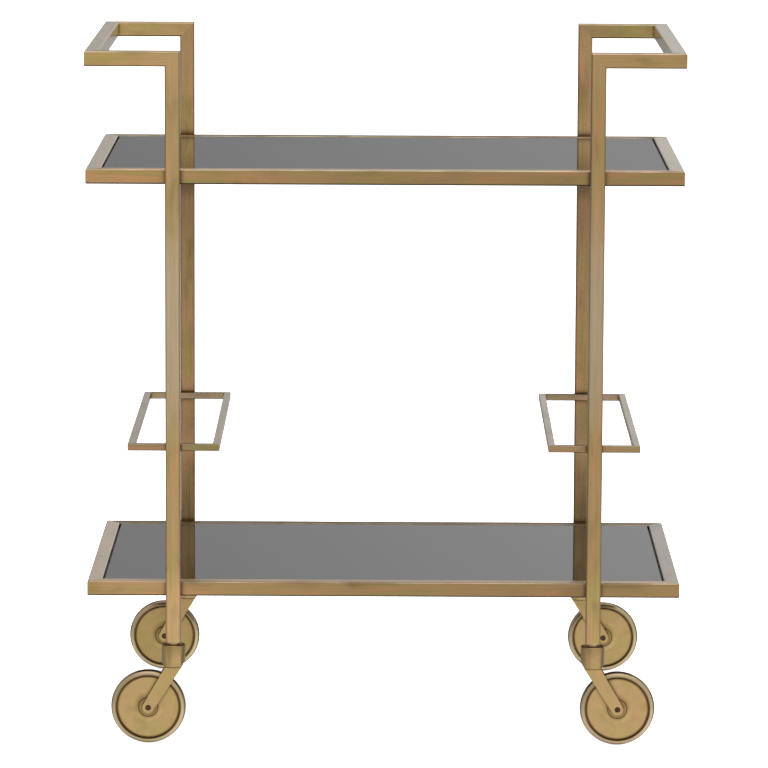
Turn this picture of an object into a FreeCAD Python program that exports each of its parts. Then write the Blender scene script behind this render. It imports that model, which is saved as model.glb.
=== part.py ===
import FreeCAD, Part
import math
import os

from FreeCAD import Placement, Rotation, Vector

os.makedirs("parts", exist_ok=True)

# Bar cart on wheels, in millimetres.
# +Z is up, +X runs along the shelves to the right and +Y to the rear.
# The origin is on the floor, under the middle of the cart.

# Square tube of the frame.
tube = 20.0
tube_wall = 1.5
tube_corner = 2.0

# Overall plan of the frame.
shelf_length = 800.0
shelf_depth = 460.0
handle_length = 800.0
post_spacing = 566.0

# Heights above the foot of the posts, each to the top of its tube.
lower_shelf_rise = 80.0
shelf_spacing = 559.0
handle_rise = 159.0

# Hoops between the front and rear posts.
hoop_bar = 9.5
hoop_corner = 1.0
hoop_width = 124.0
hoop_rise = 188.0

# Glass and the ledges that carry it.
glass_thickness = 5.0
glass_drop = 0.8
glass_end_gap = 2.2
glass_long_gap = 1.2
glass_corner = 3.0
glass_arris = 0.6
ledge_width = 12.0
ledge_thickness = 3.0

# Caster wheel.
wheel_diameter = 101.0
rim_depth = 6.9
rim_width = 16.4
disc_inset = 2.0
groove_width = 2.0
groove_depth = 2.4
hub_radius = 12.6
hub_stand = 0.1
hub_chamfer = 0.5
hub_groove_width = 0.9
hub_groove_depth = 1.2
flare_width = 9.0
flare_height = 0.9
bush_wall = 2.0

# Caster fork: a round collar with two slanted arms.
collar_diameter = 32.0
collar_height = 29.5
collar_chamfer = 0.8
collar_heel = 5.0
collar_wall = 2.5
recess_depth = 5.0
fork_trail = 34.0
arm_thickness = 3.7
arm_top_width = 18.8
arm_end_width = 16.0
wheel_to_collar = 8.3

# Swivel stem, its spacer and the plug in the foot of the post.
stem_diameter = 10.0
stem_head_lip = 1.5
stem_head_height = 4.0
stem_head_depth = 1.5
stem_engagement = 18.0
stem_chamfer = 1.0
spacer_wall = 2.5
post_to_collar = 4.0
plug_height = 22.0

# Axle pin through the fork's arms.
axle_diameter = 7.0
axle_recess = 1.5
axle_chamfer = 0.6
axle_countersink = 0.5

# Clearances, each on one side.
running_clearance = 0.05
seat_clearance = 0.02
plug_clearance = 0.05
swivel_play = 0.1
head_side_clearance = 0.5
hub_side_clearance = 0.5
bush_side_clearance = 0.3

# Sizes and levels that follow from the values above.
wheel_radius = wheel_diameter / 2
collar_radius = collar_diameter / 2
collar_reach = fork_trail - collar_radius
recess_radius = collar_radius - collar_wall
stem_head_radius = stem_diameter / 2 + stem_head_lip
spacer_radius = stem_diameter / 2 + spacer_wall
axle_height = wheel_radius
collar_bottom = axle_height + math.sqrt((wheel_radius + wheel_to_collar) ** 2 - collar_reach ** 2)
collar_top = collar_bottom + collar_height
recess_floor = collar_top - recess_depth
post_foot = collar_top + post_to_collar
lower_shelf_top = post_foot + lower_shelf_rise
upper_shelf_top = lower_shelf_top + shelf_spacing
handle_top = upper_shelf_top + handle_rise
hoop_top = lower_shelf_top + hoop_rise
stem_head_top = collar_bottom + stem_head_depth + stem_head_height
disc_width = rim_width - 2 * disc_inset
hub_length = rim_width + 2 * hub_stand
slot_width = hub_length + 2 * hub_side_clearance
fork_width = slot_width + 2 * arm_thickness

# Places of the posts: outside the long rails of the shelves.
post_x = post_spacing / 2
post_y = shelf_depth / 2 + tube / 2
handle_x = handle_length / 2 - tube / 2

SIDES = {"left": -1, "right": 1}
ENDS = {"front": -1, "rear": 1}
X = Vector(1, 0, 0)
Y = Vector(0, 1, 0)
Z = Vector(0, 0, 1)


def save(name, *solids):
    """Write one node; several solids make a group of separate pieces."""
    shape = solids[0] if len(solids) == 1 else Part.makeCompound(list(solids))
    shape.exportStep(os.path.join("parts", name + ".step"))


def column(size, corner, length):
    """A square bar along +Z with rounded long edges."""
    bar = Part.makeBox(size, size, length, Vector(-size / 2, -size / 2, 0))
    if corner <= 0:
        return bar
    long_edges = [edge for edge in bar.Edges if abs(edge.Length - length) < 1e-6]
    return bar.makeFillet(corner, long_edges)


def beyond(point, normal, size):
    """A block that fills the side of a plane that its normal points to."""
    block = Part.makeBox(size, size, size, Vector(-size / 2, -size / 2, 0))
    block.Placement = Placement(point, Rotation(Z, normal))
    return block


def bar_between(start, end, size, corner, wall=0.0, before=None, after=None):
    """A straight bar from centre line point to centre line point.

    before is the direction of the bar that arrives at the start and after
    the direction of the bar that leaves the end: both ends are mitred to
    them. An end with no neighbour is cut square. A wall makes it a tube.
    """
    axis = (end - start).normalize()
    length = (end - start).Length
    lead = size
    bar = column(size, corner, length + 2 * lead)
    if wall > 0:
        bar = bar.cut(column(size - 2 * wall, corner - wall, length + 2 * lead))
    bar.Placement = Placement(start - axis * lead, Rotation(Z, axis))
    start_normal = axis if before is None else (axis + before).normalize()
    end_normal = axis if after is None else (axis + after).normalize()
    bar = bar.cut(beyond(start, start_normal * -1, 4 * size))
    return bar.cut(beyond(end, end_normal, 4 * size))


def frame_tube(start, end, before=None, after=None):
    """A length of the frame's square tube."""
    return bar_between(start, end, tube, tube_corner, tube_wall, before, after)


def turned(edges):
    """Turn a closed outline in the XZ plane about the vertical axis."""
    wire = Part.Wire(Part.__sortEdges__(edges))
    return Part.Face(wire).revolve(Vector(0, 0, 0), Z, 360)


def outline(points):
    """Straight edges through (radius, height) points, closed."""
    corners = [Vector(radius, 0, height) for radius, height in points]
    return [Part.makeLine(a, b) for a, b in zip(corners, corners[1:] + corners[:1])]


def on_line(a, b, x=None, z=None):
    """The point of the line through a and b at a given x or z."""
    share = (x - a.x) / (b.x - a.x) if z is None else (z - a.z) / (b.z - a.z)
    return a + (b - a) * share


def make_posts_and_handles():
    """Each post turns outward at its top, and a crossbar joins the arms."""
    arm_z = handle_top - tube / 2
    for side, sx in SIDES.items():
        for end, sy in ENDS.items():
            foot = Vector(sx * post_x, sy * post_y, post_foot)
            bend = Vector(sx * post_x, sy * post_y, arm_z)
            tip = Vector(sx * handle_x, sy * post_y, arm_z)
            save("post_%s_%s" % (end, side), frame_tube(foot, bend, after=X * sx))
            arm = frame_tube(bend, tip, before=Z, after=Y * -sy)
            save("handle_arm_%s_%s" % (end, side), arm)
        rear = Vector(sx * handle_x, post_y, arm_z)
        front = Vector(sx * handle_x, -post_y, arm_z)
        crossbar = frame_tube(rear, front, before=X * sx, after=X * -sx)
        save("handle_crossbar_%s" % side, crossbar)


def make_shelf_frame(level, top):
    """Four mitred rails round one shelf."""
    x = shelf_length / 2 - tube / 2
    y = shelf_depth / 2 - tube / 2
    z = top - tube / 2
    for end, sy in ENDS.items():
        rail = frame_tube(Vector(-x, sy * y, z), Vector(x, sy * y, z), before=Y * sy, after=Y * -sy)
        save("%s_%s_rail" % (level, end), rail)
    for side, sx in SIDES.items():
        rail = frame_tube(Vector(sx * x, -y, z), Vector(sx * x, y, z), before=X * sx, after=X * -sx)
        save("%s_%s_rail" % (level, side), rail)


def make_glass(level, top):
    """The glass lies inside the rails, on ledges welded to them."""
    inner_length = shelf_length - 2 * tube
    inner_depth = shelf_depth - 2 * tube
    length = inner_length - 2 * glass_end_gap
    depth = inner_depth - 2 * glass_long_gap
    under = top - glass_drop - glass_thickness
    glass = Part.makeBox(length, depth, glass_thickness, Vector(-length / 2, -depth / 2, under))
    upright = [edge for edge in glass.Edges if abs(edge.Length - glass_thickness) < 1e-6]
    glass = glass.makeFillet(glass_corner, upright)
    level_edges = [edge for edge in glass.Edges if edge.BoundBox.ZLength < 1e-6]
    glass = glass.makeChamfer(glass_arris, level_edges)
    save("%s_glass" % level, glass)

    seat = under - ledge_thickness
    ledges = []
    for sy in ENDS.values():
        y = sy * (inner_depth - ledge_width) / 2
        corner = Vector(-inner_length / 2, y - ledge_width / 2, seat)
        ledges.append(Part.makeBox(inner_length, ledge_width, ledge_thickness, corner))
    between = inner_depth - 2 * ledge_width
    for sx in SIDES.values():
        x = sx * (inner_length - ledge_width) / 2
        corner = Vector(x - ledge_width / 2, -between / 2, seat)
        ledges.append(Part.makeBox(ledge_width, between, ledge_thickness, corner))
    save("%s_glass_ledges" % level, *ledges)


def make_hoops():
    """A narrow hoop at each end lies between the front and rear posts."""
    y = post_y - tube / 2 - hoop_bar / 2
    z = hoop_top - hoop_bar / 2
    half = hoop_width / 2 - hoop_bar / 2
    for side, sx in SIDES.items():
        outer = sx * (post_x + half)
        inner = sx * (post_x - half)
        corners = [Vector(outer, -y, z), Vector(outer, y, z), Vector(inner, y, z), Vector(inner, -y, z)]
        names = ["outer", "rear", "inner", "front"]
        steps = [(b - a).normalize() for a, b in zip(corners, corners[1:] + corners[:1])]
        for index, name in enumerate(names):
            start = corners[index]
            end = corners[(index + 1) % 4]
            before = steps[index - 1]
            after = steps[(index + 1) % 4]
            bar = bar_between(start, end, hoop_bar, hoop_corner, before=before, after=after)
            save("%s_hoop_%s_bar" % (side, name), bar)


def make_fork():
    """Collar and two slanted arms in one casting, with the swivel axis on Z.

    The axle is on the -X side of the swivel axis, along Y.
    """
    axle = Vector(-fork_trail, 0, axle_height)
    shoulder = Vector(0, 0, collar_bottom)
    lean = shoulder - axle
    taper = math.asin((arm_top_width - arm_end_width) / 2 / lean.Length)
    slope = math.atan2(lean.z, lean.x)

    def edge_line(turn):
        """Top point and tangent point of one long edge of the arm."""
        out = Vector(math.cos(slope + turn), 0, math.sin(slope + turn))
        return shoulder + out * (arm_top_width / 2), axle + out * (arm_end_width / 2)

    heel_top, heel_end = edge_line(math.pi / 2 - taper)
    toe_top, toe_end = edge_line(taper - math.pi / 2)

    heel = on_line(heel_top, heel_end, z=collar_bottom)
    toe = on_line(toe_top, toe_end, x=collar_radius)
    far = axle - Vector(lean.x, 0, lean.z).normalize() * (arm_end_width / 2)
    upper = [toe, Vector(collar_radius, 0, collar_top), Vector(-collar_radius, 0, collar_top)]
    upper += [Vector(-collar_radius, 0, collar_bottom + collar_heel), heel, heel_end]
    edges = [Part.makeLine(toe_end, toe)]
    edges += [Part.makeLine(a, b) for a, b in zip(upper, upper[1:])]
    edges.append(Part.Arc(heel_end, far, toe_end).toShape())
    side_view = Part.Face(Part.Wire(edges))
    side_view.translate(Vector(0, -collar_radius, 0))
    silhouette = side_view.extrude(Vector(0, collar_diameter, 0))

    collar = Part.makeCylinder(collar_radius, collar_height, shoulder)
    rim_edges = [edge for edge in collar.Edges if edge.BoundBox.ZMin > collar_top - 1e-6]
    collar = collar.makeChamfer(collar_chamfer, rim_edges)
    flank_corner = Vector(-3 * fork_trail, -fork_width / 2, 0)
    flank = Part.makeBox(4 * fork_trail, fork_width, collar_bottom, flank_corner)
    fork = silhouette.common(collar.fuse(flank)).removeSplitter()

    slot_corner = Vector(-3 * fork_trail, -slot_width / 2, 0)
    fork = fork.cut(Part.makeBox(4 * fork_trail, slot_width, collar_bottom, slot_corner))
    hole = axle_diameter / 2 + seat_clearance
    fork = fork.cut(Part.makeCylinder(hole, fork_width, axle - Y * (fork_width / 2), Y))
    for sy in ENDS.values():
        mouth = axle + Y * (sy * fork_width / 2)
        sink = Part.makeCone(hole + axle_countersink, hole, axle_countersink, mouth, Y * -sy)
        fork = fork.cut(sink)

    bore = stem_diameter / 2 + running_clearance
    fork = fork.cut(Part.makeCylinder(bore, collar_height, shoulder))
    recess = Part.makeCylinder(recess_radius, recess_depth, Vector(0, 0, recess_floor))
    fork = fork.cut(recess)
    pocket_depth = stem_head_top + swivel_play - collar_bottom
    pocket_radius = stem_head_radius + head_side_clearance
    return fork.cut(Part.makeCylinder(pocket_radius, pocket_depth, shoulder))


def make_stem():
    """The swivel stem is fixed in the post's plug, its head in the collar's pocket."""
    top = post_foot + stem_engagement
    head_bottom = stem_head_top - stem_head_height
    radius = stem_diameter / 2
    head = stem_head_radius
    points = [(0, head_bottom), (head - stem_chamfer, head_bottom), (head, head_bottom + stem_chamfer)]
    points += [(head, stem_head_top), (radius, stem_head_top), (radius, top - stem_chamfer)]
    points += [(radius - stem_chamfer, top), (0, top)]
    return turned(outline(points))


def make_spacer():
    """The spacer stands between the collar's recess and the post."""
    bottom = recess_floor + swivel_play
    inner = stem_diameter / 2 + seat_clearance
    spacer = Part.makeCylinder(spacer_radius, post_foot - bottom, Vector(0, 0, bottom))
    return spacer.cut(Part.makeCylinder(inner, post_foot - bottom, Vector(0, 0, bottom)))


def make_plug():
    """The plug fills the foot of the post and holds the stem."""
    size = tube - 2 * tube_wall - 2 * plug_clearance
    plug = column(size, max(tube_corner - tube_wall, 0), plug_height)
    hole = stem_diameter / 2 + seat_clearance
    plug = plug.cut(Part.makeCylinder(hole, plug_height))
    plug.translate(Vector(0, 0, post_foot))
    return plug


def axle_frame(solid):
    """Lay a piece turned about Z along the axle."""
    solid.Placement = Placement(Vector(-fork_trail, 0, axle_height), Rotation(Z, Y))
    return solid


def make_axle():
    """The axle pin, with its ends a little below the faces of the arms."""
    half = fork_width / 2 - axle_recess
    radius = axle_diameter / 2
    points = [(0, -half), (radius - axle_chamfer, -half), (radius, axle_chamfer - half)]
    points += [(radius, half - axle_chamfer), (radius - axle_chamfer, half), (0, half)]
    return axle_frame(turned(outline(points)))


def make_bush():
    """The bush runs on the axle and fills the hub."""
    inner = axle_diameter / 2 + running_clearance
    outer = inner + bush_wall
    half = slot_width / 2 - bush_side_clearance
    points = [(inner, -half), (outer, -half), (outer, half), (inner, half)]
    return axle_frame(turned(outline(points)))


def make_disc():
    """The wheel's disc: hub boss, soft flare, flat web and edge groove."""
    bore = axle_diameter / 2 + running_clearance + bush_wall + seat_clearance
    outer = wheel_radius - rim_depth
    face = disc_width / 2
    end = hub_length / 2
    flare_start = hub_radius + hub_groove_width
    flare_end = flare_start + flare_width
    crest = face + flare_height
    points = [(bore, end), (hub_radius - hub_chamfer, end), (hub_radius, end - hub_chamfer)]
    points += [(hub_radius, face - hub_groove_depth), (flare_start, face - hub_groove_depth)]
    points.append((flare_start, crest))
    after_flare = [(flare_end, face), (outer - groove_width, face)]
    after_flare += [(outer - groove_width, face - groove_depth), (outer, face - groove_depth)]

    upper = [Vector(radius, 0, height) for radius, height in points]
    web = [Vector(radius, 0, height) for radius, height in after_flare]
    sag = Vector(flare_start + 0.4 * flare_width, 0, face + 0.25 * flare_height)
    half = [Part.makeLine(a, b) for a, b in zip(upper, upper[1:])]
    half.append(Part.Arc(upper[-1], sag, web[0]).toShape())
    half += [Part.makeLine(a, b) for a, b in zip(web, web[1:])]
    other = [edge.mirror(Vector(0, 0, 0), Z) for edge in half]
    inner_wall = Part.makeLine(upper[0], Vector(bore, 0, -end))
    outer_wall = Part.makeLine(web[-1], Vector(outer, 0, groove_depth - face))
    return axle_frame(turned(half + other + [inner_wall, outer_wall]))


def make_rim():
    """The rim band, with a tread rounded to half an ellipse."""
    inner = wheel_radius - rim_depth + seat_clearance
    depth = wheel_radius - inner
    half = rim_width / 2
    centre = Vector(inner, 0, 0)
    top = Vector(inner, 0, half)
    tip = Vector(wheel_radius, 0, 0)
    if half > depth:
        tread = Part.Ellipse(top, tip, centre)
    else:
        tread = Part.Ellipse(tip, top, centre)
    ends = sorted([tread.parameter(top), tread.parameter(top * -1 + centre * 2)])
    arc = tread.toShape(ends[0], ends[1])
    if arc.valueAt((arc.FirstParameter + arc.LastParameter) / 2).x < inner:
        arc = tread.toShape(ends[1], ends[0] + 2 * math.pi)
    wall = Part.makeLine(top, top * -1 + centre * 2)
    return axle_frame(turned([arc, wall]))


def make_casters():
    """Every caster trails outward from its post."""
    plugs = []
    spacers = []
    for side, sx in SIDES.items():
        for end, sy in ENDS.items():
            turn = Rotation(Z, 0 if sx < 0 else 180)
            at_post = Placement(Vector(sx * post_x, sy * post_y, 0), turn)

            def placed(solid):
                solid.Placement = at_post.multiply(solid.Placement)
                return solid

            place = "%s_%s" % (end, side)
            save("stem_" + place, placed(make_stem()))
            save("fork_" + place, placed(make_fork()))
            save("axle_" + place, placed(make_axle()))
            save("wheel_bush_" + place, placed(make_bush()))
            save("wheel_disc_" + place, placed(make_disc()))
            save("wheel_rim_" + place, placed(make_rim()))
            plugs.append(placed(make_plug()))
            spacers.append(placed(make_spacer()))
    save("post_plugs", *plugs)
    save("swivel_spacers", *spacers)


make_posts_and_handles()
for shelf_level, shelf_top in (("lower", lower_shelf_top), ("upper", upper_shelf_top)):
    make_shelf_frame(shelf_level, shelf_top)
    make_glass(shelf_level, shelf_top)
make_hoops()
make_casters()

print("height %.2f" % handle_top)
print("upper shelf %.2f, lower shelf %.2f, hoops %.2f" % (upper_shelf_top, lower_shelf_top, hoop_top))
print("post foot %.2f, collar %.2f to %.2f" % (post_foot, collar_bottom, collar_top))
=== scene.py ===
import math

import bpy
from mathutils import Matrix, Vector

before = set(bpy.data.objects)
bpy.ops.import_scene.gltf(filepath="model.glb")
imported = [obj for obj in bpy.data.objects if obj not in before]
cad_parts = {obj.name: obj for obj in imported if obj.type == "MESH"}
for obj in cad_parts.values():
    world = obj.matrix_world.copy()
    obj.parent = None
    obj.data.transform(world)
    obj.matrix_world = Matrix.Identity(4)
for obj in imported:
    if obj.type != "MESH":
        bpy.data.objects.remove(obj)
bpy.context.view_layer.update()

# Looks of the bar cart: brushed and aged brass tube, black glass and cast brass casters.
# Metres, in the frame of the CAD model: +Z up, +X to the right and +Y to the rear.

MM = 0.001

SIDES = ("left", "right")
ENDS = ("front", "rear")
LEVELS = ("lower", "upper")
WHEEL_AXIS = "Y"

# Camera: its place, its angles in radians, and its sensor and lens in millimetres.
CAMERA_PLACE = Vector((0.0124, -6.8279, 1.5054))
CAMERA_TILT = 0.152556
CAMERA_YAW = -0.0019176
CAMERA_ROLL = -0.0043557
SENSOR = 36.0
LENS = 233.23
NEAREST_SEEN = 0.1
FARTHEST_SEEN = 200.0

# Floor and softbox.
WHITE = (1.0, 1.0, 1.0, 1.0)
FLOOR_SIDE = 120.0
FLOOR_DROP = 0.0002
FLOOR_COLOUR = (0.86, 0.86, 0.86, 1.0)
FLOOR_GLOW = 0.92
SOFTBOX_SIDE = 5.0
SOFTBOX_PLACE = (0.0, -0.6, 4.0)
SOFTBOX_POWER = 260.0

# Light that polished metal sees in front of the cart and behind it.  Each list has (height, light)
# stops, where height runs from -1 straight down to 1 straight up.  Each slope changes the light
# sideways: two places, where -1 is left and 1 is right, and the factors at them.
FRONT_LIGHT = [(-1.0, 0.60), (-0.75, 1.20), (-0.35, 1.35), (-0.12, 1.02), (0.15, 0.80), (0.6, 0.85),
               (0.85, 1.15), (1.0, 1.45)]
FRONT_SLOPES = [(-0.55, 0.02, 0.76, 1.05)]
REAR_LIGHT = [(-1.0, 0.60), (-0.6, 0.95), (-0.3, 0.42), (-0.05, 0.36), (0.10, 0.38), (0.19, 0.60),
              (0.35, 0.65), (0.7, 0.50), (1.0, 1.45)]
REAR_SLOPES = [(-0.12, 0.12, 0.78, 1.22), (-0.95, -0.35, 1.75, 1.0), (0.35, 0.95, 1.0, 0.85)]
FRONT_TO_REAR = (-0.12, 0.25)

# Brass and its patina, and the colours of dark polish with painted shade, of a painted pale reflection and
# of a painted highlight.
BRASS = (0.440, 0.290, 0.128, 1.0)
COPPERY = (0.510, 0.284, 0.128, 1.0)
GREENISH = (0.380, 0.294, 0.098, 1.0)
TARNISH = (0.250, 0.150, 0.072, 1.0)
DARK_POLISH_AND_SHADE = (0.085, 0.044, 0.007, 1.0)
PALE_REFLECTION = (0.500, 0.385, 0.250, 1.0)
PAINTED_HIGHLIGHT = (0.780, 0.640, 0.450, 1.0)

# Each tint has the values of its noise where it starts and is full, and its greatest share.
TUBE_PATINA = ((COPPERY, 0.40, 0.68, 1.0), (GREENISH, 0.42, 0.70, 1.0), (TARNISH, 0.50, 0.78, 0.58))
CAST_PATINA = ((COPPERY, 0.45, 0.75, 0.50), (GREENISH, 0.35, 0.65, 0.60), (TARNISH, 0.52, 0.85, 0.25))

# Which way tube faces, as ranges of its normal: along Y for the front, and along Z for the rest.
FACING_FRONT = (-0.7, -0.3)
FACING_UP = (0.3, 0.7)
FLAT_TOP = (0.90, 0.99)
UPPER_EDGE = (0.15, 0.45, 0.90, 0.98)
LOWER_EDGE = (-0.40, -0.05)
FLAT_UNDERSIDE = (-0.99, -0.95)

# Brightness of the painted shade on rounded lower edges and on flat undersides.
LOWER_EDGE_SHADE = 0.15
UNDERSIDE_SHADE = 0.60

# How openness, from 0 in a crevice to 1, turns into painted shade, with dark polish in crevices, and how far
# shelter reaches in millimetres.
SHELTERED = (0.30, 0.85)
CREVICED = (0.40, 0.92)
SHELTER_DISTANCE = 110

# A painted pale band of reflection on the front posts between these heights: start, full, fading and end.
PALE_BAND_HEIGHTS = (0.38, 0.52, 0.62, 0.76)
PALE_BAND_SHARE = 0.75

# Where the cart's left half gives way to its right one, which is painted in shade, and how tall a tube's
# painted shade line along its foot is, as shares of its height.
MIDDLE = (-0.25, 0.25)
FOOT_LINE = (0.06, 0.15)

# Depth of brush marks and casting grain, and of the waves in the glass, in millimetres.
GRAIN_DEPTH = 0.05
GLASS_WAVE_DEPTH = 0.2


# Node helpers.

def add(tree, kind, values=None, **settings):
    """A new node: settings are its own properties, values its input sockets."""
    node = tree.nodes.new(kind)
    for name, value in settings.items():
        setattr(node, name, value)
    for socket, value in (values or {}).items():
        put(tree, node.inputs[socket], value)
    return node


def put(tree, socket, value):
    """Set a socket, or link it when the value is another node's output."""
    if isinstance(value, bpy.types.NodeSocket):
        tree.links.new(value, socket)
    else:
        socket.default_value = value


def maths(tree, operation, *values):
    """The result of a Math node."""
    node = add(tree, "ShaderNodeMath", operation=operation)
    for socket, value in zip(node.inputs, values):
        put(tree, socket, value)
    return node.outputs[0]


def mixed(tree, share, a, b, blend="MIX"):
    """Two colours mixed."""
    node = add(tree, "ShaderNodeMix", data_type="RGBA", blend_type=blend)
    put(tree, node.inputs[0], share)
    put(tree, node.inputs[6], a)
    put(tree, node.inputs[7], b)
    return node.outputs[2]


def shade(tree, colour, factor):
    """A colour multiplied by a factor, which is grey or a colour itself."""
    return mixed(tree, 1.0, colour, factor, "MULTIPLY")


def ramp(tree, value, low, high, to_low=0.0, to_high=1.0):
    """A smooth step of a value from one range to another."""
    node = add(tree, "ShaderNodeMapRange", interpolation_type="SMOOTHSTEP")
    for socket, number in zip(node.inputs[:5], (value, low, high, to_low, to_high)):
        put(tree, socket, number)
    return node.outputs[0]


def band(tree, value, start, full, fading, end):
    """1 where a value is between full and fading, and 0 before start and after end."""
    rising = ramp(tree, value, start, full)
    falling = ramp(tree, value, fading, end, 1.0, 0.0)
    return maths(tree, "MULTIPLY", rising, falling)


def profile(tree, value, stops):
    """A grey factor that follows a value smoothly through (value, factor) stops.

    The ramp holds half of each factor, which keeps its colours between 0 and 1.
    """
    low = stops[0][0]
    high = stops[-1][0]
    share = add(tree, "ShaderNodeMapRange", {0: value, 1: low, 2: high})
    node = add(tree, "ShaderNodeValToRGB", {0: share.outputs[0]})
    node.color_ramp.interpolation = "EASE"
    elements = node.color_ramp.elements
    while len(elements) < len(stops):
        elements.new(0.5)
    for element, (place, factor) in zip(elements, stops):
        half = factor / 2
        element.position = (place - low) / (high - low)
        element.color = (half, half, half, 1.0)
    return shade(tree, node.outputs[0], (2.0, 2.0, 2.0, 1.0))


def coordinates(tree, kind):
    """Object places in metres, Generated shares of a node's box, or its Normal."""
    return add(tree, "ShaderNodeTexCoord").outputs[kind]


def parts(tree, vector):
    """The X, Y and Z parts of a vector, by letter."""
    return add(tree, "ShaderNodeSeparateXYZ", {"Vector": vector}).outputs


def noise(tree, vector, stretch, detail=3.0, offset=0.0, distortion=0.0):
    """Noise whose features are stretch millimetres long on each axis."""
    scale = tuple(1.0 / (size * MM) for size in stretch)
    mapping = add(tree, "ShaderNodeMapping", {"Vector": vector, "Scale": scale, "Location": (offset,) * 3})
    values = {"Vector": mapping.outputs[0], "Scale": 1.0, "Detail": detail, "Roughness": 0.5,
              "Distortion": distortion}
    node = add(tree, "ShaderNodeTexNoise", values, noise_dimensions="3D", normalize=True)
    return node.outputs[0]


def along(grain, length, width):
    """Feature sizes that are long on the grain's axis and narrow across it."""
    return tuple(length if letter == grain else width for letter in "XYZ")


def openness(tree, distance):
    """How open the surface is, from 0 in a crevice to 1, within a distance in millimetres."""
    node = add(tree, "ShaderNodeAmbientOcclusion", {"Distance": distance * MM}, samples=8)
    return node.outputs["AO"]


def edge_distance(tree, grain):
    """On a straight bar, 0 at its long edges and 0.5 in the middle of each face."""
    share = parts(tree, coordinates(tree, "Generated"))
    nearest = []
    for letter in "XYZ":
        if letter != grain:
            other = maths(tree, "SUBTRACT", 1.0, share[letter])
            nearest.append(maths(tree, "MINIMUM", share[letter], other))
    return maths(tree, "MAXIMUM", *nearest)


def distance_from_axle(tree, diameter):
    """On a wheel part of a given diameter, the distance from the axle's line in millimetres."""
    share = parts(tree, coordinates(tree, "Generated"))
    squares = []
    for letter in "XZ":
        offset = maths(tree, "SUBTRACT", share[letter], 0.5)
        squares.append(maths(tree, "MULTIPLY", offset, offset))
    distance = maths(tree, "SQRT", maths(tree, "ADD", *squares))
    return maths(tree, "MULTIPLY", distance, diameter)


# Shader helpers.

def new_material(name):
    """An empty node material with its shader and output."""
    material = bpy.data.materials.new(name)
    material.use_nodes = True
    tree = material.node_tree
    tree.nodes.clear()
    shader = add(tree, "ShaderNodeBsdfPrincipled")
    output = add(tree, "ShaderNodeOutputMaterial")
    tree.links.new(shader.outputs[0], output.inputs["Surface"])
    return material, tree, shader


def emboss(tree, shader, height, strength, depth):
    """Fine relief, with its depth in millimetres."""
    bump = add(tree, "ShaderNodeBump", {"Strength": strength, "Distance": depth * MM, "Height": height})
    put(tree, shader.inputs["Normal"], bump.outputs[0])


def make_metal(tree, shader, colour, roughness):
    """Bare metal of a colour and a roughness."""
    put(tree, shader.inputs["Base Color"], colour)
    shader.inputs["Metallic"].default_value = 1.0
    put(tree, shader.inputs["Roughness"], roughness)


def lacquer(shader, weight, roughness):
    """A clear coat over the metal."""
    shader.inputs["Coat Weight"].default_value = weight
    shader.inputs["Coat Roughness"].default_value = roughness
    shader.inputs["Coat IOR"].default_value = 1.5


def stretch_highlights(tree, shader, axis, strength, turn):
    """Highlights drawn out by brush or lathe marks about an axis, turned by a share of a circle."""
    shader.inputs["Anisotropic"].default_value = strength
    shader.inputs["Anisotropic Rotation"].default_value = turn
    tangent = add(tree, "ShaderNodeTangent", direction_type="RADIAL", axis=axis)
    put(tree, shader.inputs["Tangent"], tangent.outputs[0])


def patina(tree, clouds, tints):
    """Brass with a tint for each of three noises."""
    colour = BRASS
    for cloud, (tint, start, full, share) in zip(clouds, tints):
        colour = mixed(tree, ramp(tree, cloud, start, full, 0.0, share), colour, tint)
    return colour


def crevice_polish_and_shade(tree, colour, reach, share):
    """Dark polish left in crevices, with painted shade there, as far as reach in millimetres."""
    hidden = ramp(tree, openness(tree, reach), *CREVICED, share, 0.0)
    return mixed(tree, hidden, colour, DARK_POLISH_AND_SHADE)


# Materials.

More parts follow.
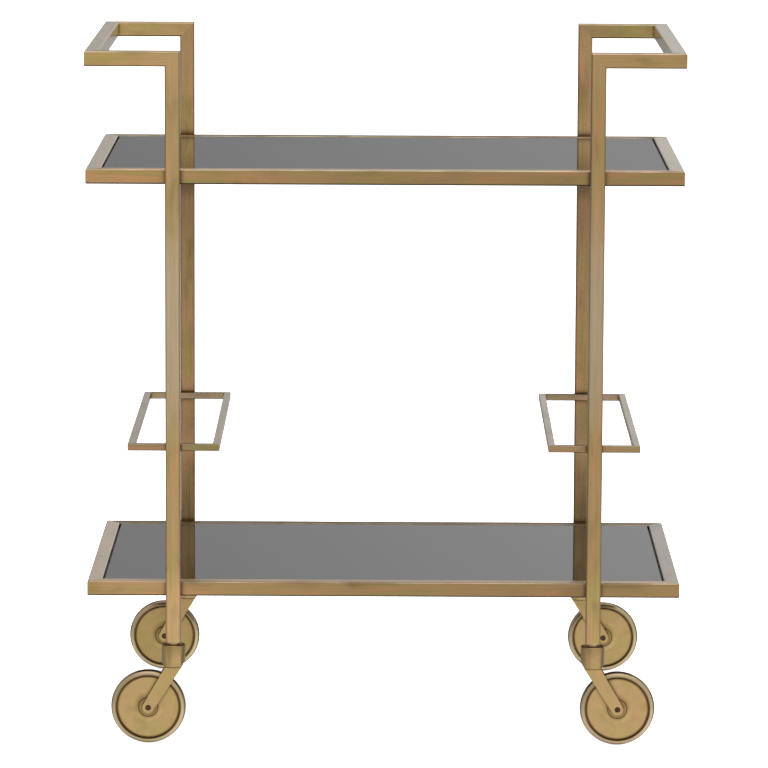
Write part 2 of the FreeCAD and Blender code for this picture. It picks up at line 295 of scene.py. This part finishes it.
def brushed_brass(name, grain, tone=WHITE, roughness=0.27, coat=0.22, edge=0.15, edge_shade=0.58,
                  shelter=0.85, reach=5, right_side=1.0, top=1.0, foot=1.0, painted_pale_band=False, painted_light=None,
                  plain=None):
    """Brass tube brushed along its grain, with clouds of patina, and painted light and shade on its edges,
    faces and undersides.

    edge, edge_shade: width of the painted shade along the long edges, as a share of the tube's, and its
    brightness
    shelter, reach: brightness of the painted shade in sheltered places, and how far the crevice darkening
    reaches, in millimetres
    right_side, top, foot: brightness of the painted shade at the cart's right, of the painted light on upper
    faces and of the painted shade line along lower edges
    painted_pale_band: paler between the band's heights, as a painted reflection
    painted_light: an axis and (place, factor) stops along it of painted light and shade, for front and upper
    faces
    plain: an axis and the two distances between which the clouds fade out towards a mitre
    """
    material, tree, shader = new_material(name)
    place = coordinates(tree, "Object")
    position = parts(tree, place)
    normal = parts(tree, coordinates(tree, "Normal"))

    warm = noise(tree, place, along(grain, 95, 14), detail=1.0, offset=3.1, distortion=0.3)
    green = noise(tree, place, along(grain, 120, 12), detail=1.0, offset=11.7, distortion=0.3)
    dull = noise(tree, place, along(grain, 70, 22), detail=2.0, offset=23.3, distortion=0.5)
    streak = noise(tree, place, along(grain, 90, 1.3), detail=3.0, offset=5.9)
    hair = noise(tree, place, along(grain, 22, 0.22), detail=2.0, offset=7.7)

    colour = patina(tree, (warm, green, dull), TUBE_PATINA)
    if plain:
        axis, cloudy, clear = plain
        distance = maths(tree, "ABSOLUTE", position[axis])
        colour = mixed(tree, ramp(tree, distance, cloudy, clear), colour, BRASS)
    # Painted reflection: a pale band along the front posts.
    if painted_pale_band:
        pale_band = band(tree, position["Z"], *PALE_BAND_HEIGHTS)
        colour = mixed(tree, maths(tree, "MULTIPLY", pale_band, PALE_BAND_SHARE), colour, PALE_REFLECTION)
    colour = shade(tree, colour, ramp(tree, streak, 0.25, 0.75, 0.90, 1.09))
    # Painted light and shade along an axis, on front and upper faces.
    if painted_light:
        axis, stops = painted_light
        facing_front = ramp(tree, normal["Y"], *FACING_FRONT, 1.0, 0.0)
        profiled_faces = maths(tree, "MAXIMUM", facing_front, ramp(tree, normal["Z"], *FACING_UP))
        colour = mixed(tree, profiled_faces, colour, shade(tree, colour, profile(tree, position[axis], stops)))
    # Painted shade towards the cart's right.
    if right_side != 1.0:
        colour = shade(tree, colour, ramp(tree, position["X"], *MIDDLE, 1.0, right_side))

    # Painted shade on rounded lower edges and on flat undersides.
    lower_edge = ramp(tree, normal["Z"], *LOWER_EDGE, LOWER_EDGE_SHADE, 1.0)
    underside = ramp(tree, normal["Z"], *FLAT_UNDERSIDE, UNDERSIDE_SHADE, 0.0)
    colour = shade(tree, colour, maths(tree, "MAXIMUM", lower_edge, underside))
    # Painted shade along the long edges.
    colour = shade(tree, colour, ramp(tree, edge_distance(tree, grain), 0.0, edge, edge_shade, 1.0))
    # Painted shade in sheltered places, from ambient occlusion.
    sheltered = ramp(tree, openness(tree, SHELTER_DISTANCE), *SHELTERED, shelter, 1.0)
    colour = shade(tree, colour, sheltered)
    # Dark polish and painted shade in crevices.
    colour = crevice_polish_and_shade(tree, colour, reach, 0.9)
    colour = shade(tree, colour, tone)

    # Painted highlight along the rounded upper edges, uneven with the clouds.
    upper_edge = band(tree, normal["Z"], *UPPER_EDGE)
    edge_highlight = maths(tree, "MULTIPLY", upper_edge, ramp(tree, dull, 0.35, 0.65, 0.62, 0.25))
    colour = mixed(tree, edge_highlight, colour, PAINTED_HIGHLIGHT)
    # Painted light on flat upper faces.
    if top != 1.0:
        colour = shade(tree, colour, ramp(tree, normal["Z"], *FLAT_TOP, 1.0, top))
    # Painted shade line along the lower edge.
    if foot != 1.0:
        share = parts(tree, coordinates(tree, "Generated"))
        colour = shade(tree, colour, ramp(tree, share["Z"], *FOOT_LINE, foot, 1.0))

    rough = ramp(tree, dull, 0.30, 0.80, roughness - 0.04, roughness + 0.07)
    rough = maths(tree, "ADD", rough, ramp(tree, hair, 0.2, 0.8, -0.03, 0.03))
    rough = maths(tree, "ADD", rough, ramp(tree, streak, 0.3, 0.7, -0.04, 0.04))
    make_metal(tree, shader, colour, rough)
    lacquer(shader, coat, 0.25)
    stretch_highlights(tree, shader, grain, 0.5, 0.0)
    emboss(tree, shader, hair, 0.12, GRAIN_DEPTH)
    return material


def cast_brass(name, tone=WHITE, roughness=0.30, coat=0.22, turned=False, diameter=0, polish_and_shade_rings=(), reach=4,
               collar=None):
    """Cast and polished brass of the casters.

    turned: turned on a lathe about the wheel's axis
    polish_and_shade_rings: rings of dark polish and painted shade, each two radii in millimetres and the
    share of darkening at them, on a part of the given diameter
    reach: how far the dark polish and painted shade of crevices reach, in millimetres
    collar: the height in metres of a collar's foot, with a painted shade line along it and darker brass
    above
    """
    material, tree, shader = new_material(name)
    place = coordinates(tree, "Object")
    warm = noise(tree, place, (20, 20, 20), detail=2.0, offset=2.3, distortion=0.5)
    green = noise(tree, place, (28, 28, 28), detail=2.0, offset=9.1, distortion=0.5)
    dull = noise(tree, place, (11, 11, 11), detail=3.0, offset=17.9, distortion=0.3)
    grain = noise(tree, place, (0.5, 0.5, 0.5), detail=3.0, offset=1.3)

    colour = patina(tree, (warm, green, dull), CAST_PATINA)
    colour = shade(tree, colour, tone)
    # Rings of dark polish and painted shade.
    if polish_and_shade_rings:
        radius = distance_from_axle(tree, diameter)
        uneven = ramp(tree, warm, 0.3, 0.7, 0.85, 1.0)
        for inner, outer, inner_share, outer_share in polish_and_shade_rings:
            ring = ramp(tree, radius, inner, outer, inner_share, outer_share)
            colour = mixed(tree, maths(tree, "MULTIPLY", ring, uneven), colour, DARK_POLISH_AND_SHADE)
    if collar:
        height = parts(tree, place)["Z"]
        colour = shade(tree, colour, ramp(tree, height, collar - 0.2 * MM, collar + 0.2 * MM, 1.0, 0.84))
        from_foot = maths(tree, "ABSOLUTE", maths(tree, "SUBTRACT", height, collar))
        # Painted shade line along the collar's foot.
        line = ramp(tree, from_foot, 0.3 * MM, 1.1 * MM, 0.85, 0.0)
        colour = mixed(tree, line, colour, DARK_POLISH_AND_SHADE)
    # Dark polish and painted shade in crevices.
    colour = crevice_polish_and_shade(tree, colour, reach, 0.95)

    rough = ramp(tree, dull, 0.3, 0.8, roughness - 0.04, roughness + 0.06)
    make_metal(tree, shader, colour, rough)
    lacquer(shader, coat, 0.2)
    if turned:
        stretch_highlights(tree, shader, WHEEL_AXIS, 0.35, 0.25)
    emboss(tree, shader, grain, 0.05, GRAIN_DEPTH)
    return material


def fittings_metal(name, base):
    """Steel or brass of the small fittings, a little cloudy and scratched."""
    material, tree, shader = new_material(name)
    place = coordinates(tree, "Object")
    cloud = noise(tree, place, (6, 6, 6), detail=4.0, offset=4.4)
    scratch = noise(tree, place, (0.3, 0.3, 4), detail=2.0, offset=8.2)
    colour = shade(tree, base, ramp(tree, cloud, 0.3, 0.8, 1.05, 0.65))
    make_metal(tree, shader, colour, ramp(tree, cloud, 0.2, 0.8, 0.22, 0.42))
    emboss(tree, shader, scratch, 0.1, GRAIN_DEPTH)
    return material


def black_glass(name):
    """Black float glass: glossy, with the faintest waviness and dust."""
    clean = (0.004, 0.004, 0.004, 1.0)
    dusty = (0.012, 0.012, 0.012, 1.0)
    material, tree, shader = new_material(name)
    place = coordinates(tree, "Object")
    wave = noise(tree, place, (180, 140, 100), detail=1.0, offset=6.6)
    dust = noise(tree, place, (2.5, 2.5, 2.5), detail=5.0, offset=12.2)
    colour = mixed(tree, ramp(tree, dust, 0.45, 0.80, 0.0, 0.5), clean, dusty)
    put(tree, shader.inputs["Base Color"], colour)
    put(tree, shader.inputs["Roughness"], ramp(tree, dust, 0.40, 0.85, 0.012, 0.030))
    shader.inputs["IOR"].default_value = 1.46
    emboss(tree, shader, wave, 0.03, GLASS_WAVE_DEPTH)
    return material


# CAD nodes.

def each(pattern, words):
    """Node names: a pattern with each of the words in it."""
    return [pattern % word for word in words]


def corners(stem):
    """The node names of a part that stands at all four casters."""
    return ["%s_%s_%s" % (stem, end, side) for side in SIDES for end in ENDS]


def width_of(name):
    """A CAD node's size along X in millimetres."""
    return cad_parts[name].dimensions.x / MM


def top_of(name):
    """The height of a CAD node's highest point in millimetres."""
    return max(vertex.co.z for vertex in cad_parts[name].data.vertices) / MM


def paint(names, material):
    """Give CAD nodes a material."""
    for name in names:
        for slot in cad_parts[name].material_slots:
            slot.material = material


def soften(names, width, angle=35, segments=2):
    """Round the edges where faces turn by more than an angle in degrees, by a width in millimetres."""
    for name in names:
        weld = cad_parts[name].modifiers.new("weld", "WELD")
        weld.merge_threshold = 0.001 * MM
        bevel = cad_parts[name].modifiers.new("bevel", "BEVEL")
        bevel.width = width * MM
        bevel.segments = segments
        bevel.limit_method = "ANGLE"
        bevel.angle_limit = math.radians(angle)
        bevel.harden_normals = True


# Shelf frames and glass.  The frames' ends are painted paler, as the handle's crossbars are, as painted
# reflection.  The front and far rails are painted darker, as painted shade, and the front rails carry
# painted light on their tops and a painted shade line along their feet.

# Painted light and shade from left to right along the front rails and along the frames' ends.
RAIL_LIGHT_AND_SHADE = ("X", [(-0.36, 1.32), (-0.20, 1.12), (0.0, 0.96), (0.20, 0.91), (0.36, 0.97)])
END_LIGHT_AND_SHADE = ("X", [(-0.3, 1.15), (0.3, 1.00)])

front_rails = brushed_brass("brass_of_front_rails", "X", tone=(0.66, 0.61, 0.54, 1.0), coat=0.6,
                            edge_shade=0.95, reach=9, top=2.0, foot=0.25, painted_light=RAIL_LIGHT_AND_SHADE)
far_rails = brushed_brass("brass_of_far_rails", "X", tone=(0.40, 0.40, 0.44, 1.0), roughness=0.36,
                          coat=0.05, edge_shade=0.85)
lower_ends = brushed_brass("brass_of_lower_side_rails", "Y", tone=(1.50, 1.68, 2.25, 1.0), coat=0.8,
                           edge_shade=0.80, shelter=1.0, right_side=0.50, painted_light=END_LIGHT_AND_SHADE)
upper_ends = brushed_brass("brass_along_y", "Y", tone=(1.62, 1.86, 2.45, 1.0), coat=1.0,
                           edge_shade=0.85, shelter=1.0, painted_light=END_LIGHT_AND_SHADE)

paint(each("%s_front_rail", LEVELS), front_rails)
paint(each("%s_rear_rail", LEVELS), far_rails)
paint(each("lower_%s_rail", SIDES), lower_ends)
paint(each("upper_%s_rail", SIDES), upper_ends)
paint(each("%s_glass_ledges", LEVELS), far_rails)
paint(each("%s_glass", LEVELS), black_glass("black_glass_sheet"))


# Posts and handles.  The clouds stop short of the mitres, where the tube was ground flush.

ARM_PLAIN = ("X", 0.345, 0.300)
POST_PLAIN = ("Z", 0.870, 0.915)
# Painted light and shade up the posts: lighter at the front posts' foot, and on the rear posts darker under
# the upper shelf and lighter just above it.
FRONT_POST_LIGHT_AND_SHADE = ("Z", [(0.08, 1.25), (0.19, 1.12), (0.26, 0.90), (0.85, 0.93), (0.93, 1.02)])
REAR_POST_LIGHT_AND_SHADE = ("Z", [(0.20, 1.05), (0.26, 1.14), (0.31, 0.90), (0.36, 0.68), (0.46, 0.85), (0.56, 0.74),
                        (0.68, 0.58), (0.705, 0.34), (0.76, 0.45), (0.79, 1.75), (0.83, 1.20), (0.88, 0.97),
                        (0.93, 0.93)])

# Each part's tone is painted light and shade: the far arms are painted lighter, and the right-hand parts
# painted darker.
front_arms = brushed_brass("brass_of_handle_arms", "X", tone=(1.0, 0.98, 0.94, 1.0), edge_shade=0.85,
                           shelter=1.0, right_side=0.84, plain=ARM_PLAIN)
far_arms = brushed_brass("brass_of_far_handle_arms", "X", tone=(1.12, 1.15, 1.10, 1.0), edge_shade=0.85,
                         shelter=0.95, right_side=0.76, plain=ARM_PLAIN)
front_posts = brushed_brass("brass_of_front_posts", "Z", right_side=0.84, painted_pale_band=True,
                            painted_light=FRONT_POST_LIGHT_AND_SHADE, plain=POST_PLAIN)
rear_posts = brushed_brass("brass_of_rear_posts", "Z", tone=(1.0, 0.95, 1.03, 1.0), shelter=1.0,
                           reach=12, painted_light=REAR_POST_LIGHT_AND_SHADE, plain=POST_PLAIN)

paint(each("handle_crossbar_%s", SIDES), upper_ends)
paint(each("handle_arm_front_%s", SIDES), front_arms)
paint(each("handle_arm_rear_%s", SIDES), far_arms)
paint(each("post_front_%s", SIDES), front_posts)
paint(each("post_rear_%s", SIDES), rear_posts)


# Hoops of thin bar.

# Each bar's tone is painted light and shade for the way it faces: the front bars darker, the end bars paler.
front_bars = brushed_brass("hoop_brass_along_x", "X", tone=(0.62, 0.67, 0.73, 1.0), edge=0.2, edge_shade=0.8)
far_bars = brushed_brass("hoop_brass_of_far_bars", "X", tone=(0.84, 0.91, 1.30, 1.0), edge=0.2,
                         edge_shade=0.8)
end_bars = brushed_brass("hoop_brass_along_y", "Y", tone=(1.15, 1.30, 1.70, 1.0), coat=0.8, edge=0.2,
                         edge_shade=0.75)

paint(each("%s_hoop_front_bar", SIDES), front_bars)
paint(each("%s_hoop_rear_bar", SIDES), far_bars)
paint(each("%s_hoop_outer_bar", SIDES) + each("%s_hoop_inner_bar", SIDES), end_bars)


# Casters.  Sizes in millimetres.  Dark polish and painted shade are laid round the hub, on both sides of
# the groove at the disc's edge, and along the edge of the tread.

HUB_RADIUS = 12.6
GROOVE_WIDTH = 2.0
COLLAR_HEIGHT = 29.5
FORK_ROUNDING = 0.6

disc_diameter = width_of("wheel_disc_front_left")
wheel_diameter = width_of("wheel_rim_front_left")
collar_foot = top_of("fork_front_left") - COLLAR_HEIGHT
disc_radius = disc_diameter / 2
wheel_radius = wheel_diameter / 2
groove = disc_radius - GROOVE_WIDTH
disc_polish_and_shade = [(HUB_RADIUS - 0.2, HUB_RADIUS + 5.4, 0.42, 0.0), (groove - 2.6, groove, 0.0, 0.88)]
rim_polish_and_shade = [(disc_radius, disc_radius + 2.3, 0.88, 0.0), (wheel_radius - 2.3, wheel_radius - 0.9, 0.0, 0.80)]

discs = cast_brass("turned_wheel_brass", turned=True, diameter=disc_diameter, polish_and_shade_rings=disc_polish_and_shade, reach=8)
# The rear left disc is painted darker, as shade under the shelf.
shaded_rear_left_disc = cast_brass("wheel_brass_painted_darker", tone=(0.84, 0.86, 0.78, 1.0), turned=True,
                       diameter=disc_diameter, polish_and_shade_rings=disc_polish_and_shade, reach=8)
# The rims are painted paler, as painted reflection.
rims = cast_brass("turned_rim_brass", tone=(1.20, 1.34, 1.86, 1.0), roughness=0.32, coat=0.5,
                  turned=True, diameter=wheel_diameter, polish_and_shade_rings=rim_polish_and_shade)
bushes = cast_brass("bush_bronze", tone=(0.7, 0.62, 0.55, 1.0), turned=True)

paint(corners("fork"), cast_brass("cast_fork_brass", collar=collar_foot * MM))
paint(corners("wheel_disc"), discs)
paint(["wheel_disc_rear_left"], shaded_rear_left_disc)
paint(corners("wheel_rim"), rims)
paint(corners("wheel_bush"), bushes)
paint(corners("stem"), fittings_metal("plated_steel", (0.50, 0.46, 0.38, 1.0)))
paint(["post_plugs", "swivel_spacers"], fittings_metal("turned_fittings", (0.66, 0.50, 0.27, 1.0)))
# The axles are painted near black, as the shade in their recesses.
paint(corners("axle"), fittings_metal("axle_steel_painted_as_shade", (0.085, 0.055, 0.035, 1.0)))
soften(corners("fork"), FORK_ROUNDING)


# Studio.

def make_floor():
    """A plain pale floor, lit a little from within so that shadows stay soft."""
    bpy.ops.mesh.primitive_plane_add(size=FLOOR_SIDE, location=(0, 0, -FLOOR_DROP))
    floor = bpy.context.object
    floor.name = "floor"
    material, tree, shader = new_material("pale_floor")
    shader.inputs["Base Color"].default_value = FLOOR_COLOUR
    shader.inputs["Roughness"].default_value = 0.9
    shader.inputs["Specular IOR Level"].default_value = 0.1
    shader.inputs["Emission Color"].default_value = WHITE
    shader.inputs["Emission Strength"].default_value = FLOOR_GLOW
    floor.data.materials.append(material)
    floor.visible_glossy = False


def studio_half(tree, direction, stops, slopes):
    """The light of one half of the studio by height, changed sideways by slopes."""
    light = profile(tree, direction["Z"], stops)
    for slope in slopes:
        light = shade(tree, light, ramp(tree, direction["X"], *slope))
    return light


def make_world():
    """White for the camera, and for reflections a studio that is bright in front and dim behind."""
    world = bpy.data.worlds.new("studio")
    bpy.context.scene.world = world
    world.use_nodes = True
    tree = world.node_tree
    tree.nodes.clear()
    direction = parts(tree, coordinates(tree, "Generated"))
    front = studio_half(tree, direction, FRONT_LIGHT, FRONT_SLOPES)
    rear = studio_half(tree, direction, REAR_LIGHT, REAR_SLOPES)
    light = mixed(tree, ramp(tree, direction["Y"], *FRONT_TO_REAR), front, rear)

    studio = add(tree, "ShaderNodeBackground", {"Color": light, "Strength": 1.0})
    white = add(tree, "ShaderNodeBackground", {"Color": WHITE, "Strength": 1.0})
    path = add(tree, "ShaderNodeLightPath").outputs
    choose = add(tree, "ShaderNodeMixShader", {0: path["Is Camera Ray"]})
    tree.links.new(studio.outputs[0], choose.inputs[1])
    tree.links.new(white.outputs[0], choose.inputs[2])
    output = add(tree, "ShaderNodeOutputWorld")
    tree.links.new(choose.outputs[0], output.inputs["Surface"])


def make_softbox():
    """One wide soft light overhead, a little in front of the cart."""
    data = bpy.data.lights.new("softbox", "AREA")
    data.shape = "SQUARE"
    data.size = SOFTBOX_SIDE
    data.energy = SOFTBOX_POWER
    light = bpy.data.objects.new("softbox", data)
    light.location = SOFTBOX_PLACE
    light.visible_glossy = False
    bpy.context.scene.collection.objects.link(light)


def make_camera():
    """A long lens at standing height, tilted down at the cart."""
    forward = Vector((math.sin(CAMERA_YAW) * math.cos(CAMERA_TILT),
                      math.cos(CAMERA_YAW) * math.cos(CAMERA_TILT), -math.sin(CAMERA_TILT)))
    level = Vector((math.cos(CAMERA_YAW), -math.sin(CAMERA_YAW), 0.0))
    down = forward.cross(level)
    right = level * math.cos(CAMERA_ROLL) + down * math.sin(CAMERA_ROLL)
    low = down * math.cos(CAMERA_ROLL) - level * math.sin(CAMERA_ROLL)
    turn = Matrix((right, -low, -forward)).transposed().to_4x4()
    data = bpy.data.cameras.new("camera")
    data.sensor_width = SENSOR
    data.lens = LENS
    data.clip_start = NEAREST_SEEN
    data.clip_end = FARTHEST_SEEN
    camera = bpy.data.objects.new("camera", data)
    bpy.context.scene.collection.objects.link(camera)
    camera.matrix_world = Matrix.Translation(CAMERA_PLACE) @ turn
    bpy.context.scene.camera = camera


make_floor()
make_world()
make_softbox()
make_camera()
bpy.context.scene.view_settings.view_transform = "Standard"
